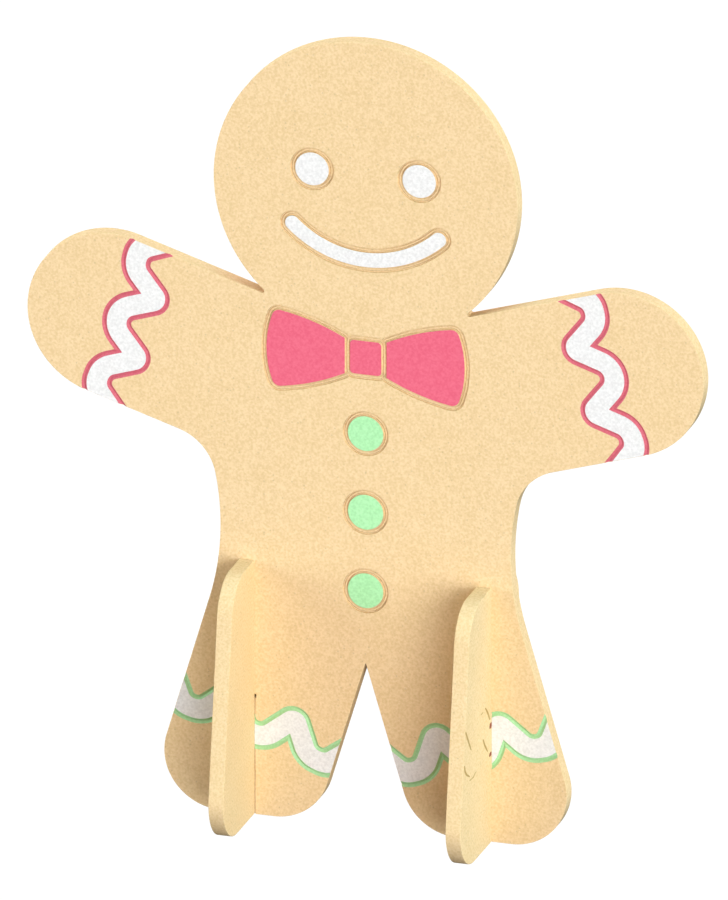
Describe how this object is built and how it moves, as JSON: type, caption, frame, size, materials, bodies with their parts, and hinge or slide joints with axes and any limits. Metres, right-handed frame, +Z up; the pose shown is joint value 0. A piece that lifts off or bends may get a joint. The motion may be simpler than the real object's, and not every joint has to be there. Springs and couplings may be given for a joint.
{
  "type": "gingerbread man cookie",
  "caption": "Flat gingerbread figure that stands upright on two slotted cross panels, with a smiling face, bow tie, round buttons and zigzag bands in flush icing.",
  "frame": {"origin": "the middle of the figure's thickness and width, at the table", "axes": "+Z up to the crown of the head; -Y is the iced front face; +X towards the figure's own left hand, on the viewer's right"},
  "size_m": [0.169, 0.0524, 0.2006],
  "materials": {
    "biscuit": "pale baked dough, matt, with a fine sandy grain",
    "foot_biscuit": "pale baked dough, matt, with a fine sandy grain",
    "white_icing": "smooth royal icing, satin",
    "pink_icing": "smooth coloured icing, satin",
    "green_icing": "smooth coloured icing, satin",
    "pink_line": "thin piped line, pressed to a V, satin",
    "green_line": "thin piped line, pressed to a V, satin"
  },
  "bodies": {
    "root": {"body": "biscuit", "foot_left": "foot_biscuit", "foot_right": "foot_biscuit", "eye_left": "white_icing", "eye_right": "white_icing", "mouth": "white_icing", "bow_wing_left": "pink_icing", "bow_wing_right": "pink_icing", "bow_knot": "pink_icing", "button_top": "green_icing", "button_middle": "green_icing", "button_bottom": "green_icing", "arm_band_left": "white_icing", "arm_line_shoulder_left": "pink_line", "arm_line_hand_left": "pink_line", "leg_band_inner_left": "white_icing", "leg_line_upper_inner_left": "green_line", "leg_line_lower_inner_left": "green_line", "leg_band_outer_left": "white_icing", "leg_line_upper_outer_left": "green_line", "leg_line_lower_outer_left": "green_line", "arm_band_right": "white_icing", "arm_line_shoulder_right": "pink_line", "arm_line_hand_right": "pink_line", "leg_band_inner_right": "white_icing", "leg_line_upper_inner_right": "green_line", "leg_line_lower_inner_right": "green_line", "leg_band_outer_right": "white_icing", "leg_line_upper_outer_right": "green_line", "leg_line_lower_outer_right": "green_line"}
  },
  "joints": []
}
